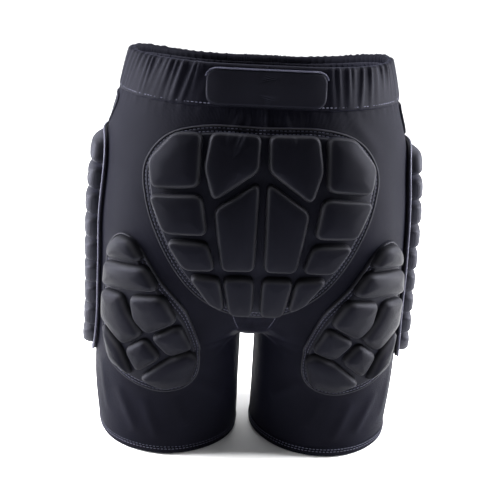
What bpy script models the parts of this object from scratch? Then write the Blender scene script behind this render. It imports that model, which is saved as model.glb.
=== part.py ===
"""Padded impact shorts: a stretch undershort with foam cells over the seat, the thighs and the hips.

Metres, +Z up. The origin is the middle of the waist opening at the top of the waistband. -Y is the back,
+Y the front, and left and right are the wearer's own, so that left is -X. Both legs swing on the hip line.
"""

import math

import bpy
from mathutils import Vector

SIDES = (("left", -1), ("right", 1))

# The dressed body, from the top of the waistband at z = 0 down to the hems.
GIRTHS = (
    # height, side seam, middle of the thigh, back, front
    (0.000, 0.141, 0.035, -0.098, 0.092),
    (-0.045, 0.155, 0.040, -0.104, 0.098),
    (-0.100, 0.170, 0.047, -0.118, 0.104),
    (-0.170, 0.178, 0.056, -0.128, 0.104),
    (-0.240, 0.180, 0.070, -0.122, 0.100),
    (-0.300, 0.182, 0.083, -0.108, 0.096),
    (-0.347, 0.184, 0.092, -0.100, 0.093),
    (-0.400, 0.184, 0.095, -0.092, 0.088),
    (-0.468, 0.179, 0.096, -0.088, 0.084),
)
CROTCH = -0.315
CLEFT_RISE = 0.060  # height over which the two thighs part
CLEFT_GAP = 0.0035  # half the space between the thighs where they have just parted
LEG_GAP = 0.011  # half the space between the legs
LEG_ROUND = 0.012  # height below the crotch over which that space opens
HEM = -0.468
HEM_HEIGHT = 0.0125
HEM_INSIDE = -0.0004  # lift of the hem's two faces
HEM_OUTSIDE = 0.0026
WAISTBAND_HEIGHT = 0.043
FRONT_DIP = 0.018  # the front of the waistband sits this much lower than the back
HIP_LINE = -0.270  # height of the axis on which both legs swing

# Where the legs part from the shorts' body: turn round the thigh in degrees, height.
CREASE = (
    (-180, -0.319),
    (-150, -0.313),
    (-120, -0.295),
    (-98, -0.266),
    (-80, -0.232),
    (-62, -0.190),
    (-45, -0.172),
    (-20, -0.166),
    (10, -0.168),
    (50, -0.190),
    (90, -0.240),
    (130, -0.284),
    (155, -0.309),
    (180, -0.319),
)

GAP = 0.0003  # between pieces that touch
CLEAR = 0.0010  # between layers on a curved face
KNIT = 0.0015  # thickness of the stretch knit
BACKING = 0.0020  # thickness of a pad's stitched backing
SIDE_PATCH = 0.0012
FACE = KNIT + CLEAR  # lift of the first layer that lies on the knit
ON_BACKING = FACE + BACKING + CLEAR
SEAT_FOAM = 0.0125
THIGH_FOAM = 0.0120
HIP_RIB = 0.0145
HIP_GROOVE = 0.0075
HIP_RIBS = 9
TURN_RADIUS = 0.100  # one radian round the thigh is taken as this length
LONGEST_SIDE = 0.030  # of an outline that follows the body

# Outlines on the seat: distance from the centre line and height, for one half.
SEAT_PAD_EDGE = (
    (0.000, -0.062),
    (0.060, -0.060),
    (0.102, -0.072),
    (0.127, -0.108),
    (0.119, -0.156),
    (0.099, -0.202),
    (0.074, -0.240),
    (0.040, -0.266),
    (0.000, -0.273),
)
SEAT_CELLS = (
    ("upper_inner", ((0.005, -0.071), (0.054, -0.070), (0.060, -0.104), (0.051, -0.136), (0.006, -0.105))),
    ("middle_inner", ((0.005, -0.117), (0.049, -0.146), (0.039, -0.209), (0.006, -0.209))),
    ("lower_inner", ((0.005, -0.219), (0.037, -0.219), (0.029, -0.262), (0.005, -0.262))),
    ("outer_first", ((0.064, -0.071), (0.094, -0.074), (0.118, -0.104), (0.113, -0.130), (0.066, -0.123))),
    ("outer_second", ((0.063, -0.132), (0.112, -0.137), (0.098, -0.173), (0.057, -0.171))),
    ("outer_third", ((0.056, -0.180), (0.095, -0.181), (0.078, -0.210), (0.047, -0.209))),
    ("outer_fourth", ((0.042, -0.219), (0.073, -0.218), (0.052, -0.249), (0.035, -0.258))),
)

# Outlines on a thigh: turn round the thigh in degrees from the side seam, negative to the back, and height.
THIGH_PAD_EDGE = (
    (-44, -0.181),
    (-56, -0.192),
    (-72, -0.232),
    (-86, -0.256),
    (-100, -0.287),
    (-112, -0.325),
    (-114, -0.356),
    (-105, -0.373),
    (-86, -0.381),
    (-62, -0.372),
    (-42, -0.356),
    (-31, -0.328),
    (-29, -0.268),
    (-32, -0.205),
)
THIGH_CELLS = (
    ("top", ((-38, -0.203), (-45, -0.188), (-53, -0.191), (-61, -0.209), (-38, -0.217))),
    ("upper", ((-36, -0.224), (-63, -0.216), (-72, -0.240), (-35, -0.253))),
    ("outer", ((-35, -0.260), (-51, -0.256), (-55, -0.272), (-68, -0.300), (-57, -0.319), (-36, -0.296))),
    ("inner", ((-57, -0.254), (-75, -0.247), (-86, -0.275), (-71, -0.297), (-61, -0.281))),
    ("rear", ((-88, -0.281), (-101, -0.312), (-87, -0.323), (-74, -0.301))),
    ("diamond", ((-70, -0.305), (-82, -0.327), (-69, -0.350), (-59, -0.325))),
    ("side", ((-37, -0.304), (-55, -0.327), (-65, -0.358), (-47, -0.346))),
    ("bottom", ((-99, -0.318), (-108, -0.327), (-105, -0.361), (-87, -0.370), (-71, -0.359), (-86, -0.331))),
)

# Outlines on a hip: the same turn and height.
HIP_PAD_BACK = -22
HIP_PAD_FRONT = 44
HIP_PAD_TOP = -0.092
HIP_PAD_BOTTOM = -0.366
HIP_FOAM_MARGIN = 0.008
HIP_CORNER = 0.12  # share of the pad's height over which each end narrows
HIP_NARROWING = 0.22  # share of the pad's width that is lost at its ends
HIP_GROOVE_HALF = 0.1  # half of each groove, as a share of the pitch of the ribs
SIDE_PATCH_EDGE = (
    (-16, -0.049),
    (-13, -0.068),
    (-6, -0.084),
    (6, -0.090),
    (18, -0.084),
    (25, -0.068),
    (28, -0.049),
)

LINING = (-0.0024, -0.0012)  # lifts of the two faces of the waistband's lining
ELASTIC = (-0.0004, 0.0008)  # and of the elastic
ELASTIC_INSET = 0.0030  # from the waistband's edges
BAND_LIFT = 0.0018  # of the waistband's outer layer, over the elastic
BAND_CLOTH = 0.0020
BACK_PANEL_HALF = 0.065
BACK_PANEL_CLOTH = 0.0030
BACK_PANEL_CORNER = 0.010
BACK_PANEL_MARGIN = 0.0025  # between the back panel and the gathered halves
GUSSET = ((-0.280, 0.026), (-0.292, 0.021), (-0.304, 0.016))  # height, half width, down each face
GUSSET_LIFT = 0.0046  # over the edges of the panels that it joins
GUSSET_FLOOR = ((-0.322, 0.050, 0.010), (-0.3315, 0.020, 0.0065))  # height, depth, half width
CORNER = 0.006  # roundness of the cells and patches
SEAT_PAD_CORNER = 0.012
THIGH_PAD_CORNER = 0.008

KNIT_BLACK = (0.030, 0.029, 0.036)
PAD_BLACK = (0.024, 0.023, 0.029)
TRIM_BLACK = (0.018, 0.018, 0.021)
FOAM_BLACK = (0.045, 0.044, 0.055)


# ---- the dressed body -------------------------------------------------------------------------------


def read_curve(rows, at):
    """The other columns of rows at this value of the first one, on a smooth curve through the rows."""
    keys = [row[0] for row in rows]
    step = 1 if keys[-1] > keys[0] else -1
    last = len(rows) - 2
    i = next((k for k in range(last) if (keys[k + 1] - at) * step > 0), last)
    span = keys[i + 1] - keys[i]
    t = min(1.0, max(0.0, (at - keys[i]) / span))
    found = []
    for column in range(1, len(rows[0])):
        values = [row[column] for row in rows]
        slopes = []
        for k in (i, i + 1):
            before = max(k - 1, 0)
            after = min(k + 1, len(rows) - 1)
            slopes.append((values[after] - values[before]) / (keys[after] - keys[before]) * span)
        rise = values[i + 1] - values[i]
        curve = slopes[0] * t * (1 - t) ** 2 - slopes[1] * t * t * (1 - t)
        found.append(values[i] + rise * t * t * (3 - 2 * t) + curve)
    return found


def cleft_at(z):
    """How far the thighs have parted at a height: 0 where cloth spans them, 1 at the crotch and below."""
    share = min(1.0, max(0.0, (z - CROTCH) / CLEFT_RISE))
    return (1 - share) ** 2


def inner_at(z):
    """Distance of the inner face of a thigh from the centre line."""
    if z >= CROTCH:
        return GAP / 2 + CLEFT_GAP * cleft_at(z)
    share = min(1.0, (CROTCH - z) / LEG_ROUND)
    return GAP / 2 + CLEFT_GAP + (LEG_GAP - CLEFT_GAP) * share * share * (3 - 2 * share)


def skin_point(side, turn, z):
    """A point on the body: turn goes round the thigh from the side seam, negative to the back."""
    outer, centre, back, front = read_curve(GIRTHS, z)
    middle = (back + front) / 2
    depth = (front - back) / 2
    along = math.cos(turn)
    if along >= 0:
        x = centre + (outer - centre) * along
        y = middle + depth * math.sin(turn)
    else:
        x = centre + (centre - inner_at(z)) * along
        bulge = math.sqrt(max(0.0, 1 - cleft_at(z) * along * along))
        y = middle + depth * math.copysign(bulge, turn)
    return Vector((side * x, y, z))


def lifted(side, turn, z, lift):
    """The point this far outside skin_point."""
    step = 0.02
    ahead = skin_point(side, min(turn + step, math.pi), z)
    behind = skin_point(side, max(turn - step, -math.pi), z)
    above = skin_point(side, turn, z + 0.001)
    below = skin_point(side, turn, z - 0.001)
    out = (ahead - behind).cross(above - below).normalized() * side
    return skin_point(side, turn, z) + out * lift


def turn_at(x, z):
    """The turn of the point on the back that lies this far from the centre line."""
    outer, centre, back, front = read_curve(GIRTHS, z)
    reach = outer - centre if x >= centre else centre - inner_at(z)
    return -math.acos(min(1.0, max(-1.0, (x - centre) / reach)))


def on_seat(x, z, lift):
    side = -1 if x < 0 else 1
    point = lifted(side, turn_at(abs(x), z), z, lift)
    if abs(x) < 1e-6:
        point.x = 0.0
    return point


def on_thigh(side):
    """Places a length round the thigh and a height on that thigh."""
    return lambda length, z, lift: lifted(side, length / TURN_RADIUS, z, lift)


def crease_at(turn):
    return read_curve(CREASE, math.degrees(turn))[0]


def waist_top(turn):
    """Height of the waistband's top edge, which dips towards the front."""
    return -FRONT_DIP * math.sin(min(max(turn, 0.0), math.pi / 2)) ** 2


def spaced(first, last, count):
    return [first + (last - first) * i / count for i in range(count + 1)]


WAIST_TURNS = spaced(-math.pi, math.pi, 22)


# ---- solids -----------------------------------------------------------------------------------------


def material(name, colour, roughness):
    made = bpy.data.materials.new(name)
    made.use_nodes = True
    surface = made.node_tree.nodes["Principled BSDF"]
    surface.inputs["Base Color"].default_value = (*colour, 1)
    surface.inputs["Roughness"].default_value = roughness
    surface.inputs["Metallic"].default_value = 0.0
    return made


def add_solid(name, points, faces, finish, parent=None):
    """A closed mesh object whose origin is its parent's place."""
    base = parent.location if parent else Vector()
    mesh = bpy.data.meshes.new(name)
    mesh.from_pydata([tuple(p - base) for p in points], [], faces)
    mesh.update()
    if sum(f.area * f.normal.dot(f.center - centre_of(mesh)) for f in mesh.polygons) < 0:
        mesh.flip_normals()
    mesh.materials.append(material(name, *finish))
    made = bpy.data.objects.new(name, mesh)
    made.parent = parent
    parts.objects.link(made)
    return made


def centre_of(mesh):
    return sum((v.co for v in mesh.vertices), Vector()) / len(mesh.vertices)


def slab(name, place, across, down, low, high, finish, parent=None):
    """A curved slab: place(u, v, lift) at each u and v, between the lifts low(v) and high(v)."""
    width = len(across)
    layer = width * len(down)
    points = [place(u, v, low(v)) for v in down for u in across]
    points += [place(u, v, high(v)) for v in down for u in across]
    faces = []
    for row in range(len(down) - 1):
        for column in range(width - 1):
            a = row * width + column
            quad = (a, a + 1, a + width + 1, a + width)
            faces.append(quad)
            faces.append(tuple(i + layer for i in reversed(quad)))
    top = list(range(width))
    right = [row * width + width - 1 for row in range(1, len(down))]
    bottom = [layer - 1 - i for i in range(1, width)]
    left = [row * width for row in range(len(down) - 2, 0, -1)]
    rim = top + right + bottom + left
    for i, a in enumerate(rim):
        b = rim[(i + 1) % len(rim)]
        faces.append((b, a, a + layer, b + layer))
    return add_solid(name, points, faces, finish, parent)


def hoop(name, stations, finish, parent=None):
    """A closed band. Each station holds its four corners: two at the top, then two at the bottom."""
    count = len(stations)
    points = [corner for station in stations for corner in station]
    faces = []
    for i in range(count):
        j = (i + 1) % count
        for k in range(4):
            m = (k + 1) % 4
            faces.append((4 * i + k, 4 * j + k, 4 * j + m, 4 * i + m))
    return add_solid(name, points, faces, finish, parent)


def rounded(corners, reach, steps):
    """A closed outline whose corners are curves that begin this far from each corner."""
    outline = []
    for i, corner in enumerate(corners):
        here = Vector(corner)
        before = Vector(corners[i - 1])
        after = Vector(corners[(i + 1) % len(corners)])
        start = here.lerp(before, min(0.4, reach / (before - here).length))
        end = here.lerp(after, min(0.4, reach / (after - here).length))
        for t in spaced(0, 1, steps):
            outline.append(start.lerp(here, t).lerp(here.lerp(end, t), t))
    closed = outline + outline[:1]
    found = []
    for start, end in zip(closed, closed[1:]):
        pieces = math.ceil((end - start).length / LONGEST_SIDE)
        found += [start.lerp(end, t) for t in spaced(0, 1, pieces)[:-1]]
    return found


def pad(name, outline, place, rings, finish, parent=None):
    """A closed pad from rings (scale of the outline, lift), under side first, with a point in each middle."""
    centre = sum(outline, Vector((0, 0))) / len(outline)
    count = len(outline)
    points = [place(centre.x, centre.y, rings[0][1])]
    for scale, lift in rings:
        for corner in outline:
            at = centre.lerp(corner, scale)
            points.append(place(at.x, at.y, lift))
    points.append(place(centre.x, centre.y, rings[-1][1]))
    faces = []
    for i in range(count):
        j = (i + 1) % count
        faces.append((0, 1 + j, 1 + i))
        for ring in range(len(rings) - 1):
            a = 1 + ring * count
            faces.append((a + i, a + j, a + count + j, a + count + i))
        last = 1 + (len(rings) - 1) * count
        faces.append((last + i, last + j, len(points) - 1))
    return add_solid(name, points, faces, finish, parent)


def plate_rings(low, high, steps):
    """Rings of a thin plate, close enough together to follow the body."""
    scales = [i / steps for i in range(1, steps + 1)]
    return [(s, low) for s in scales] + [(s, high) for s in reversed(scales)]


def cell_rings(foam):
    """Rings of one foam cell with a rolled upper edge."""
    top = ON_BACKING + foam
    return (
        (0.5, ON_BACKING),
        (1.0, ON_BACKING),
        (1.0, ON_BACKING + 0.55 * foam),
        (0.82, top - 0.001),
    )


def mirrored(half):
    """A whole outline from one half that runs from the centre line and back to it."""
    return list(half) + [(-x, z) for x, z in reversed(half[1:-1])]


# ---- the shorts -------------------------------------------------------------------------------------


def build_waistband():
    """Outside in: two gathered halves and a smooth back panel, the elastic, and the lining."""
    layers = (
        ("waistband_lining", *LINING, GAP, (TRIM_BLACK, 0.7)),
        ("waist_elastic", *ELASTIC, ELASTIC_INSET, (TRIM_BLACK, 0.6)),
    )
    for name, low, high, inset, finish in layers:
        stations = [hoop_station(turn, side, low, high, inset) for side, turn in waist_path()]
        hoop(name, stations, finish)
    first = turn_at(BACK_PANEL_HALF, -WAISTBAND_HEIGHT / 2)
    turns = [first] + [turn for turn in WAIST_TURNS if turn > first + 0.02]
    turns[-1] -= GAP
    for label, side in SIDES:

        def place(turn, share, lift, side=side):
            return lifted(side, turn, waist_top(turn) - share * WAISTBAND_HEIGHT, lift)

        slab(
            "waistband_" + label,
            place,
            turns,
            spaced(0, 1, 2),
            lambda share: BAND_LIFT,
            lambda share: BAND_LIFT + BAND_CLOTH,
            (KNIT_BLACK, 0.85),
        )
    half = BACK_PANEL_HALF - BACK_PANEL_MARGIN
    corners = ((-half, -GAP), (half, -GAP), (half, -WAISTBAND_HEIGHT), (-half, -WAISTBAND_HEIGHT))
    outline = rounded(corners, BACK_PANEL_CORNER, 2)
    rings = plate_rings(BAND_LIFT, BAND_LIFT + BACK_PANEL_CLOTH, 3)
    pad("waistband_back_panel", outline, on_seat, rings, (PAD_BLACK, 0.75))


def waist_path():
    """Side and turn at each station once round the waist, starting at the centre back."""
    return [(1, turn) for turn in WAIST_TURNS[:-1]] + [(-1, turn) for turn in WAIST_TURNS[:0:-1]]


def hoop_station(turn, side, low, high, inset):
    top = waist_top(turn) - inset
    bottom = waist_top(turn) - WAISTBAND_HEIGHT + inset
    return (
        lifted(side, turn, top, low),
        lifted(side, turn, top, high),
        lifted(side, turn, bottom, high),
        lifted(side, turn, bottom, low),
    )


def build_body_panels():
    """The knit from the waist seam down to the crease where the legs begin."""
    edge = GAP / TURN_RADIUS
    for label, side in SIDES:

        def place(turn, share, lift, side=side):
            top = waist_top(turn) - WAISTBAND_HEIGHT - GAP
            bottom = crease_at(turn) + GAP
            return lifted(side, turn, top + (bottom - top) * share, lift)

        for name, turns in (
            ("seat_panel_", spaced(-math.pi, -edge, 13)),
            ("front_panel_", spaced(edge, math.pi, 10)),
        ):
            slab(
                name + label,
                place,
                turns,
                spaced(0, 1, 9),
                lambda share: 0.0,
                lambda share: KNIT,
                (KNIT_BLACK, 0.85),
            )


def build_gusset():
    """The strip that joins the legs: down the back, flat across the crotch and up the front."""
    stations = []
    for face in (-1, 1):
        half = []
        for z, width in GUSSET:
            surface = skin_point(1, -face * turn_at(width, z), z)
            half.append((surface.y + face * GUSSET_LIFT, z, width))
        half += [(face * depth, z, width) for z, depth, width in GUSSET_FLOOR]
        stations += half if face < 0 else reversed(half)
    count = len(stations)
    points = []
    for lift in (0.0, BACKING):
        for i, (y, z, width) in enumerate(stations):
            before = stations[max(i - 1, 0)]
            after = stations[min(i + 1, count - 1)]
            out = Vector((0, after[1] - before[1], before[0] - after[0])).normalized()
            for x in (-width, 0, width):
                points.append(Vector((x, y, z)) + out * lift)
    layer = 3 * count
    faces = []
    for row in range(count - 1):
        for column in range(2):
            a = 3 * row + column
            quad = (a, a + 1, a + 4, a + 3)
            faces.append(quad)
            faces.append(tuple(i + layer for i in reversed(quad)))
    right = [3 * row + 2 for row in range(count)]
    left = [3 * row for row in reversed(range(count))]
    rim = [0, 1] + right + [layer - 2] + left[:-1]
    for i, a in enumerate(rim):
        b = rim[(i + 1) % len(rim)]
        faces.append((b, a, a + layer, b + layer))
    add_solid("crotch_gusset", points, faces, (KNIT_BLACK, 0.85))


def build_seat_pad():
    edge = rounded(mirrored(SEAT_PAD_EDGE), SEAT_PAD_CORNER, 1)
    pad("seat_pad_backing", edge, on_seat, plate_rings(FACE + GAP, FACE + BACKING, 6), (PAD_BLACK, 0.8))
    for label, side in SIDES:
        for name, corners in SEAT_CELLS:
            outline = rounded([(side * x, z) for x, z in corners], CORNER, 1)
            pad("seat_cell_%s_%s" % (name, label), outline, on_seat, cell_rings(SEAT_FOAM), (PAD_BLACK, 0.75))


def on_round(degrees, z):
    return (math.radians(degrees) * TURN_RADIUS, z)


def build_hip_pads():
    """On each hip, a stitched backing and one moulded foam with ribs across it."""
    back = on_round(HIP_PAD_BACK, 0)[0]
    front = on_round(HIP_PAD_FRONT, 0)[0]
    middle = (back + front) / 2
    rows = 3 * HIP_RIBS
    for label, side in SIDES:
        for name, margin, columns, low, high, finish in (
            ("hip_pad_backing_", 0.0, 6, FACE, lambda share: FACE + BACKING, (PAD_BLACK, 0.8)),
            ("hip_pad_foam_", HIP_FOAM_MARGIN, 5, ON_BACKING, hip_ridge, (FOAM_BLACK, 0.8)),
        ):
            top = HIP_PAD_TOP - margin
            bottom = HIP_PAD_BOTTOM + margin

            def place(length, share, lift, side=side, top=top, bottom=bottom):
                end = max(0.0, 1 - min(share, 1 - share) / HIP_CORNER)
                narrowed = middle + (length - middle) * (1 - HIP_NARROWING * end * end)
                return lifted(side, narrowed / TURN_RADIUS, top + (bottom - top) * share, lift)

            across = spaced(back + margin, front - margin, columns)
            down = spaced(0, 1, rows if margin else 14)
            slab(name + label, place, across, down, lambda share, low=low: low, high, finish)


def hip_ridge(share):
    """Lift of the foam's face: level on each rib, and low in the grooves between them."""
    phase = share * HIP_RIBS % 1
    rib = min(phase, 1 - phase) > HIP_GROOVE_HALF
    return ON_BACKING + (HIP_RIB if rib else HIP_GROOVE)


def build_side_patches():
    for label, side in SIDES:
        outline = rounded([on_round(*corner) for corner in SIDE_PATCH_EDGE], CORNER, 1)
        rings = plate_rings(FACE, FACE + SIDE_PATCH, 3)
        pad("side_patch_" + label, outline, on_thigh(side), rings, (KNIT_BLACK, 0.8))


def build_leg(label, side, hip):
    edge = GAP / TURN_RADIUS
    knit = (KNIT_BLACK, 0.85)
    top_of_hem = HEM + HEM_HEIGHT

    def place(turn, share, lift):
        top = crease_at(turn) - GAP
        bottom = top_of_hem + GAP
        return lifted(side, turn, top + (bottom - top) * share, lift)

    for name, turns in (
        ("leg_back_panel_", spaced(-math.pi + edge, -edge, 13)),
        ("leg_front_panel_", spaced(edge, math.pi - edge, 10)),
    ):
        slab(name + label, place, turns, spaced(0, 1, 7), lambda share: 0.0, lambda share: KNIT, knit, hip)

    stations = []
    for turn in spaced(-math.pi, math.pi, 24)[1:]:
        corners = (
            (top_of_hem, HEM_INSIDE),
            (top_of_hem, HEM_OUTSIDE),
            (HEM, HEM_OUTSIDE),
            (HEM, HEM_INSIDE),
        )
        stations.append([lifted(side, turn, z, lift) for z, lift in corners])
        for point, corner in zip(stations[-1], corners):
            point.z = corner[0]
    hoop("hem_band_" + label, stations, knit, hip)

    place_pad = on_thigh(side)
    edge = rounded([on_round(*corner) for corner in THIGH_PAD_EDGE], THIGH_PAD_CORNER, 1)
    rings = plate_rings(FACE, FACE + BACKING, 5)
    pad("thigh_pad_backing_" + label, edge, place_pad, rings, (PAD_BLACK, 0.8), hip)
    for name, corners in THIGH_CELLS:
        outline = rounded([on_round(*corner) for corner in corners], CORNER, 1)
        title = "thigh_cell_%s_%s" % (name, label)
        pad(title, outline, place_pad, cell_rings(THIGH_FOAM), (PAD_BLACK, 0.75), hip)


def build_legs():
    for label, side in SIDES:
        hip = bpy.data.objects.new("hip_axis_" + label, None)
        hip.location = (side * 0.1, 0.0, HIP_LINE)
        parts.objects.link(hip)
        build_leg(label, side, hip)


for leftover in list(bpy.data.objects):
    bpy.data.objects.remove(leftover)
parts = bpy.data.collections.new("padded_impact_shorts")
bpy.context.scene.collection.children.link(parts)

build_waistband()
build_body_panels()
build_gusset()
build_side_patches()
build_seat_pad()
build_hip_pads()
build_legs()
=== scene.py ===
"""Looks of the padded impact shorts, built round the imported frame.

Metres, +Z up, in the part's own frame: the origin is the middle of the waist opening at the top of
the waistband, -Y is the back, +Y the front, and left is -X. Every layer of cloth and foam is laid
on one body surface, by a turn round the thigh from the side seam and a height.
"""

import math

import bpy
import numpy as np
from mathutils import Matrix, Vector


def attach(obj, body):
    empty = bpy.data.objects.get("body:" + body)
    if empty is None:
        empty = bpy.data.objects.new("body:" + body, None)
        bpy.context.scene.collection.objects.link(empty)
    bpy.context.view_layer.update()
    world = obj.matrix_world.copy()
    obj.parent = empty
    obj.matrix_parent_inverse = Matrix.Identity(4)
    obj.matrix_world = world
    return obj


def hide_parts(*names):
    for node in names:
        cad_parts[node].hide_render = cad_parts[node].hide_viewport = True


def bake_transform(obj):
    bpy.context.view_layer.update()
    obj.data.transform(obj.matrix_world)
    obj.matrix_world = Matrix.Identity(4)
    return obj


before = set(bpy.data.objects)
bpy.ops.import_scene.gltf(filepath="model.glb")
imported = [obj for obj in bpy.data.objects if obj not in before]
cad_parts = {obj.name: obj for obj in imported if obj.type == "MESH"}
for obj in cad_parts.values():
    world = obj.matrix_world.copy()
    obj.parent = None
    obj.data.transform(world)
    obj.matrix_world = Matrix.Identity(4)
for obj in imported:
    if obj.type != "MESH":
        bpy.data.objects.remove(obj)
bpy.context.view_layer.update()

SIDES = (("left", -1), ("right", 1))

# ---- sizes of the part ------------------------------------------------------------------------------

GIRTHS = (
    # height, side seam, middle of the thigh, back, front
    (0.000, 0.141, 0.035, -0.098, 0.092),
    (-0.045, 0.155, 0.040, -0.104, 0.098),
    (-0.100, 0.170, 0.047, -0.118, 0.104),
    (-0.170, 0.178, 0.056, -0.128, 0.104),
    (-0.240, 0.180, 0.070, -0.122, 0.100),
    (-0.300, 0.182, 0.083, -0.108, 0.096),
    (-0.347, 0.184, 0.092, -0.100, 0.093),
    (-0.400, 0.184, 0.095, -0.092, 0.088),
    (-0.468, 0.179, 0.096, -0.088, 0.084),
)
CROTCH = -0.315
CLEFT_RISE = 0.060
CLEFT_WIDTH = 0.0035
LEG_GAP = 0.011
LEG_ROUND = 0.012  # height over which the legs draw apart
HEM = -0.468
HEM_HEIGHT = 0.0125
BAND = 0.043  # height of the waistband
FRONT_DIP = 0.018
TURN_RADIUS = 0.100

KNIT = 0.0015
FACE = 0.0025
BACKING = 0.0020
ON_BACKING = 0.0055
BACK_PANEL_HALF = 0.0625

SEAT_PAD_EDGE = (
    (0.000, -0.062),
    (0.060, -0.060),
    (0.102, -0.072),
    (0.127, -0.108),
    (0.119, -0.156),
    (0.099, -0.202),
    (0.074, -0.240),
    (0.040, -0.266),
    (0.000, -0.274),
)
SEAT_CELLS = (
    ("upper_inner", ((0.005, -0.071), (0.054, -0.070), (0.060, -0.104), (0.051, -0.136), (0.006, -0.105))),
    ("middle_inner", ((0.005, -0.117), (0.049, -0.146), (0.039, -0.209), (0.006, -0.209))),
    ("lower_inner", ((0.005, -0.219), (0.037, -0.219), (0.029, -0.262), (0.005, -0.262))),
    ("outer_first", ((0.064, -0.071), (0.089, -0.073), (0.113, -0.102), (0.110, -0.129), (0.066, -0.123))),
    ("outer_second", ((0.063, -0.132), (0.112, -0.137), (0.098, -0.173), (0.057, -0.171))),
    ("outer_third", ((0.056, -0.180), (0.095, -0.181), (0.078, -0.210), (0.047, -0.209))),
    ("outer_fourth", ((0.042, -0.219), (0.073, -0.218), (0.052, -0.249), (0.035, -0.258))),
)
THIGH_PAD_EDGE = (
    (-44, -0.181),
    (-56, -0.192),
    (-72, -0.232),
    (-86, -0.256),
    (-100, -0.287),
    (-112, -0.325),
    (-114, -0.356),
    (-105, -0.373),
    (-86, -0.381),
    (-62, -0.372),
    (-42, -0.356),
    (-31, -0.328),
    (-29, -0.268),
    (-32, -0.205),
)
THIGH_CELLS = (
    ("top", ((-38, -0.203), (-45, -0.188), (-53, -0.191), (-61, -0.209), (-38, -0.217))),
    ("upper", ((-36, -0.224), (-63, -0.216), (-72, -0.240), (-35, -0.253))),
    ("outer", ((-35, -0.260), (-51, -0.256), (-55, -0.272), (-68, -0.300), (-57, -0.319), (-36, -0.296))),
    ("inner", ((-57, -0.254), (-75, -0.247), (-86, -0.275), (-71, -0.297), (-61, -0.281))),
    ("rear", ((-88, -0.281), (-101, -0.312), (-87, -0.323), (-74, -0.301))),
    ("diamond", ((-70, -0.305), (-82, -0.327), (-69, -0.350), (-59, -0.325))),
    ("side", ((-37, -0.304), (-55, -0.327), (-65, -0.358), (-47, -0.346))),
    ("bottom", ((-99, -0.318), (-108, -0.327), (-105, -0.361), (-87, -0.370), (-71, -0.359), (-86, -0.331))),
)
HIP_PAD_BACK = -22
HIP_PAD_FRONT = 44
HIP_PAD_TOP = -0.092
HIP_PAD_BOTTOM = -0.366
HIP_FOAM_MARGIN = 0.008
HIP_CORNER = 0.12
HIP_NARROWING = 0.22
HIP_RIBS = 9
SIDE_PATCH_EDGE = (
    (-16, -0.049),
    (-13, -0.068),
    (-6, -0.084),
    (6, -0.090),
    (18, -0.084),
    (25, -0.068),
    (28, -0.049),
)
GUSSET_TOP = ((-0.256, 0.033),)  # tucked under the seat pad, and its like on the front
GUSSET = ((-0.280, 0.026), (-0.292, 0.021), (-0.304, 0.016))
GUSSET_LIFT = 0.0046
GUSSET_FLOOR = ((-0.322, 0.050, 0.010), (-0.3315, 0.020, 0.0065))
GUSSET_BRIDGE = -0.302  # below this height it bridges the legs
GUSSET_EASE = 0.022  # and this far above it, it lies on the body
SEAM_THICKNESS = 0.0006
PATCH_SEWN_TOP = -0.052  # the patch's stitches begin this low, under the waist seam

# Soft drag lines in the knit: side or 0 for both, turn and height at each end, width, height.
FOLDS = (
    (-1, -128, -0.050, -108, -0.088, 0.0055, 0.0016),
    (-1, -112, -0.048, -96, -0.078, 0.0050, 0.0014),
    (1, -120, -0.050, -108, -0.080, 0.0055, 0.0011),
    (1, -64, -0.052, -50, -0.090, 0.0070, 0.0012),
    (0, -50, -0.385, -66, -0.440, 0.0075, 0.0020),
    (0, -72, -0.392, -84, -0.446, 0.0070, 0.0017),
    (0, -30, -0.362, -38, -0.430, 0.0080, 0.0016),
    (0, -96, -0.388, -106, -0.430, 0.0070, 0.0013),
    (0, -112, -0.366, -140, -0.402, 0.0070, 0.0013),
    (0, -150, -0.288, -120, -0.308, 0.0055, 0.0014),
    (0, -154, -0.304, -124, -0.334, 0.0055, 0.0013),
    (0, 150, -0.292, 112, -0.268, 0.0065, 0.0018),
    (0, 154, -0.308, 118, -0.308, 0.0060, 0.0016),
    (0, 142, -0.268, 96, -0.228, 0.0080, 0.0016),
    (0, 128, -0.060, 112, -0.110, 0.0070, 0.0013),
    (0, 92, -0.058, 84, -0.104, 0.0065, 0.0012),
    (0, 70, -0.380, 60, -0.446, 0.0080, 0.0018),
    (0, 104, -0.384, 98, -0.440, 0.0075, 0.0015),
    (0, 30, -0.385, 22, -0.440, 0.0075, 0.0014),
)


# ---- the dressed body -------------------------------------------------------------------------------


def column(rows, place):
    """One value of every row, as a column of an array."""
    return np.array([row[place] for row in rows])[:, None]


def smooth(t):
    t = np.clip(t, 0, 1)
    return t * t * (3 - 2 * t)


def read_curve(rows, at):
    """The other columns of rows at these values of the first one, on a smooth curve through the rows."""
    table = np.array(rows, float)
    keys = table[:, 0]
    count = len(keys)
    step = math.copysign(1.0, keys[-1] - keys[0])
    i = np.clip(np.searchsorted(keys * step, at * step, side="right") - 1, 0, count - 2)
    before = np.maximum(np.arange(count) - 1, 0)
    after = np.minimum(np.arange(count) + 1, count - 1)
    slopes = (table[after] - table[before]) / (keys[after] - keys[before])[:, None]
    span = (keys[i + 1] - keys[i])[..., None]
    t = np.clip((at - keys[i])[..., None] / span, 0, 1)
    found = table[i] + (table[i + 1] - table[i]) * t * t * (3 - 2 * t)
    found += slopes[i] * span * t * (1 - t) ** 2 - slopes[i + 1] * span * t * t * (1 - t)
    return np.moveaxis(found[..., 1:], -1, 0)


def cleft_at(z):
    return (1 - np.clip((z - CROTCH) / CLEFT_RISE, 0, 1)) ** 2


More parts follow.
